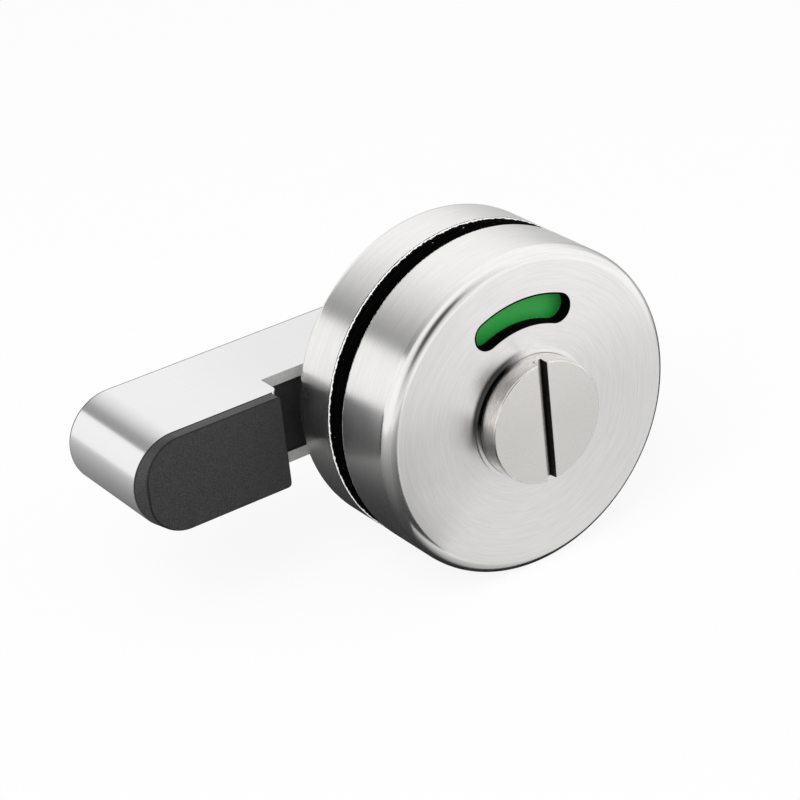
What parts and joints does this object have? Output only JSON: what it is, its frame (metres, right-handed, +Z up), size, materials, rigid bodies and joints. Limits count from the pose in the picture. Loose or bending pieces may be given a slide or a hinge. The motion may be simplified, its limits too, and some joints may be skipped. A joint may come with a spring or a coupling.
{
  "type": "toilet indicator bolt",
  "caption": "Toilet cubicle indicator bolt: brushed round roses clamp the door, with a coin turn and colour window outside and a swinging padded lever inside.",
  "frame": {"origin": "centre of the outside gasket's seat on the door's outside face, on the spindle's axis", "axes": "+Y along the spindle from outside to inside, +Z up with the window at the top, +X to the right seen from outside"},
  "size_m": [0.0824, 0.0452, 0.052],
  "materials": {
    "brushed_stainless": "pressed stainless sheet, brushed round the axis",
    "satin_stainless": "cast stainless steel, satin polished",
    "turned_stainless": "turned stainless steel, fine matt face",
    "plated_steel": "zinc plated steel",
    "spring_steel": "phosphated spring steel",
    "black_steel": "black oxide steel",
    "black_nylon": "black moulded nylon",
    "charcoal_nylon": "charcoal nylon with a fine sparked grain",
    "natural_nylon": "natural nylon",
    "gasket_rubber": "black rubber",
    "green_print": "green printed film",
    "red_print": "red printed film"
  },
  "bodies": {
    "roses": {"outside_cover": "brushed_stainless", "window_bezel": "black_nylon", "outside_base": "black_nylon", "outside_gasket": "gasket_rubber", "threaded_posts": "plated_steel", "inside_cover": "brushed_stainless", "inside_base": "black_nylon", "inside_gasket": "gasket_rubber", "fixing_screws": "plated_steel", "hub_bush": "natural_nylon"},
    "turning_set": {"coin_turn": "turned_stainless", "indicator_disc": "black_nylon", "green_label": "green_print", "red_label": "red_print", "coin_turn_circlip": "spring_steel", "spindle": "plated_steel", "lever_hub": "turned_stainless", "hub_circlip": "spring_steel", "spring_washer": "spring_steel", "lever_shell": "satin_stainless", "lever_insert": "charcoal_nylon", "lever_grub_screw": "black_steel"}
  },
  "joints": [
    {"name": "lever_turn", "type": "hinge", "parent": "roses", "child": "turning_set", "pos_m": [0, 0, 0], "axis": [0, 1, 0], "range_deg": [0, 90]}
  ]
}
